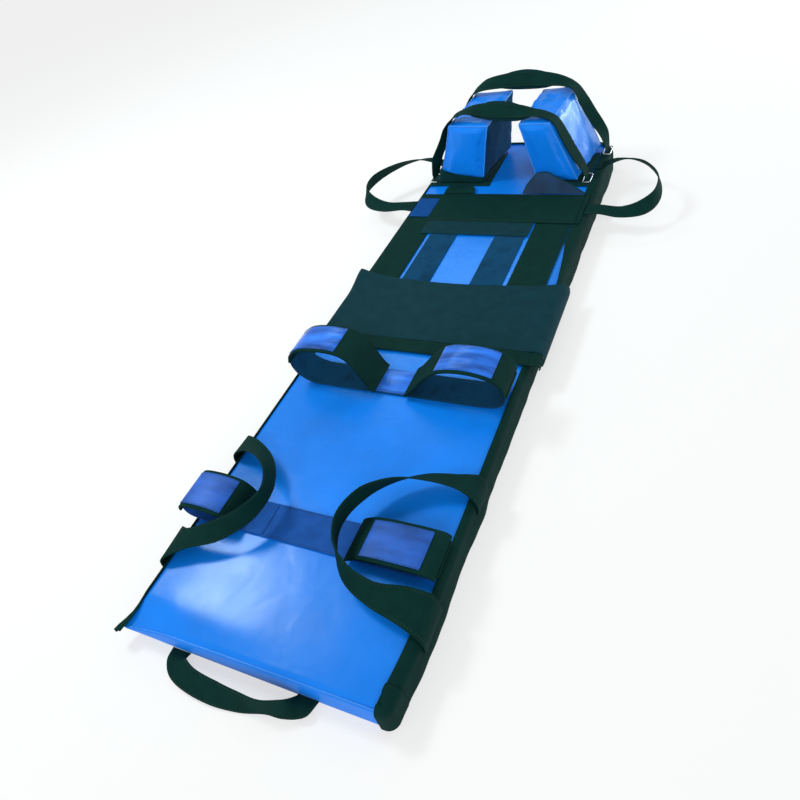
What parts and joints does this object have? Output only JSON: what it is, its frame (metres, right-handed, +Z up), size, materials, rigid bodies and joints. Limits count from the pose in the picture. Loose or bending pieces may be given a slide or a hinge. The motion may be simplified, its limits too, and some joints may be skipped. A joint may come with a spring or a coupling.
{
  "type": "rescue stretcher",
  "caption": "Padded stretcher board in a vinyl cover with webbing edges, head blocks and straps, torso belts, leg cuffs and webbing carrying handles.",
  "frame": {"origin": "middle of the board's flat underside, on the ground plane", "axes": "+Y along the board to the head end, +X to the side of the wide webbing edge, +Z up"},
  "size_m": [0.892, 1.8674, 0.3088],
  "materials": {
    "blue_vinyl": "glossy coated PVC tarpaulin",
    "violet_vinyl": "soft glossy PVC patch",
    "navy_loop": "short loop pile",
    "black_loop": "hook and loop pile",
    "black_belt": "coated nylon belt",
    "black_webbing": "woven polyester webbing",
    "foam": "open-cell foam",
    "core_plastic": "twin-wall polypropylene sheet",
    "ring_steel": "plated wire"
  },
  "bodies": {
    "board": {"top_cover": "blue_vinyl", "bottom_cover": "blue_vinyl", "foam_upper": "foam", "foam_lower": "foam", "core_board": "core_plastic", "side_border_left": "black_webbing", "side_border_right": "black_webbing", "head_border": "black_webbing", "torso_band_left": "black_webbing", "torso_band_right": "black_webbing", "loop_strip_left": "navy_loop", "loop_strip_right": "navy_loop", "waist_belt_anchor": "black_webbing", "chest_belt_anchor": "black_webbing", "shoulder_tab_left": "black_belt", "shoulder_tab_right": "black_belt", "ankle_strap": "violet_vinyl", "knee_strap": "navy_loop", "handle_patch_left": "blue_vinyl", "handle_tab_left": "black_webbing", "handle_tab_right": "black_webbing", "loop_patch_left": "black_loop", "loop_patch_right": "black_loop", "ring_front_left": "ring_steel", "ring_front_right": "ring_steel", "ring_rear_left": "ring_steel", "ring_rear_right": "ring_steel"},
    "waist_belt": {"waist_belt": "black_belt", "waist_belt_hem": "black_belt"},
    "chest_belt": {"chest_belt": "black_belt", "chest_belt_strip": "navy_loop"},
    "chin_strap": {"chin_strap": "black_webbing", "chin_pad": "black_belt"},
    "forehead_strap": {"forehead_strap": "black_webbing", "forehead_pad": "black_belt"},
    "head_block_left": {"head_block_left": "blue_vinyl", "head_block_left_foam": "foam", "head_block_left_hook": "black_loop"},
    "head_block_right": {"head_block_right": "blue_vinyl", "head_block_right_foam": "foam", "head_block_right_hook": "black_loop"},
    "ankle_cuff_left": {"ankle_cuff_left": "black_webbing", "ankle_cuff_left_patch": "violet_vinyl"},
    "ankle_cuff_right": {"ankle_cuff_right": "black_webbing", "ankle_cuff_right_patch": "violet_vinyl"},
    "knee_cuff_left": {"knee_cuff_left": "black_webbing", "knee_cuff_left_patch": "violet_vinyl"},
    "knee_cuff_right": {"knee_cuff_right": "black_webbing", "knee_cuff_right_patch": "violet_vinyl"},
    "ankle_handle_left": {"ankle_handle_left": "black_webbing"},
    "ankle_handle_right": {"ankle_handle_right": "black_webbing"},
    "shoulder_handle_left": {"shoulder_handle_left": "black_webbing"},
    "shoulder_handle_right": {"shoulder_handle_right": "black_webbing"},
    "foot_handle": {"foot_handle": "black_webbing"}
  },
  "joints": [
    {"name": "waist_belt_turn", "type": "hinge", "parent": "board", "child": "waist_belt", "pos_m": [-0.2715, -0.104, 0.052], "axis": [0, -1, 0], "range_deg": [0, 170]},
    {"name": "chest_belt_turn", "type": "hinge", "parent": "board", "child": "chest_belt", "pos_m": [0.239, 0.412, 0.0662], "axis": [0, 1, 0], "range_deg": [0, 110]},
    {"name": "chin_strap_turn", "type": "hinge", "parent": "board", "child": "chin_strap", "pos_m": [0.227, 0.655, 0.0693], "axis": [0, 1, 0], "range_deg": [0, 90]},
    {"name": "forehead_strap_turn", "type": "hinge", "parent": "board", "child": "forehead_strap", "pos_m": [0.253, 0.822, 0.0693], "axis": [0, 1, 0], "range_deg": [0, 90]},
    {"name": "ankle_cuff_left_turn", "type": "hinge", "parent": "board", "child": "ankle_cuff_left", "pos_m": [-0.277, -0.643, 0.0928], "axis": [0, -1, 0], "range_deg": [0, 120]},
    {"name": "ankle_cuff_right_turn", "type": "hinge", "parent": "board", "child": "ankle_cuff_right", "pos_m": [0.256, -0.643, 0.0772], "axis": [0, 1, 0], "range_deg": [0, 120]},
    {"name": "knee_cuff_left_turn", "type": "hinge", "parent": "board", "child": "knee_cuff_left", "pos_m": [-0.2465, -0.244, 0.1202], "axis": [0, -1, 0], "range_deg": [0, 120]},
    {"name": "knee_cuff_right_turn", "type": "hinge", "parent": "board", "child": "knee_cuff_right", "pos_m": [0.2595, -0.244, 0.1032], "axis": [0, 1, 0], "range_deg": [0, 120]},
    {"name": "ankle_handle_left_turn", "type": "hinge", "parent": "board", "child": "ankle_handle_left", "pos_m": [-0.27, -0.749, 0.03], "axis": [0, 1, 0], "range_deg": [-130, 0]},
    {"name": "ankle_handle_right_turn", "type": "hinge", "parent": "board", "child": "ankle_handle_right", "pos_m": [0.27, -0.748, 0.03], "axis": [0, -1, 0], "range_deg": [-130, 0]},
    {"name": "shoulder_handle_left_turn", "type": "hinge", "parent": "board", "child": "shoulder_handle_left", "pos_m": [-0.253, 0.486, 0.0663], "axis": [0, -1, 0], "range_deg": [-70, 0]},
    {"name": "shoulder_handle_right_turn", "type": "hinge", "parent": "board", "child": "shoulder_handle_right", "pos_m": [0.253, 0.486, 0.0663], "axis": [0, 1, 0], "range_deg": [-70, 0]},
    {"name": "foot_handle_turn", "type": "hinge", "parent": "board", "child": "foot_handle", "pos_m": [0, -0.901, 0.0098], "axis": [1, 0, 0], "range_deg": [-40, 0]},
    {"name": "head_block_left_slide", "type": "slide", "parent": "board", "child": "head_block_left", "axis": [-1, 0, 0], "range_m": [-0.015, 0]},
    {"name": "head_block_right_slide", "type": "slide", "parent": "board", "child": "head_block_right", "axis": [1, 0, 0], "range_m": [-0.015, 0]}
  ]
}
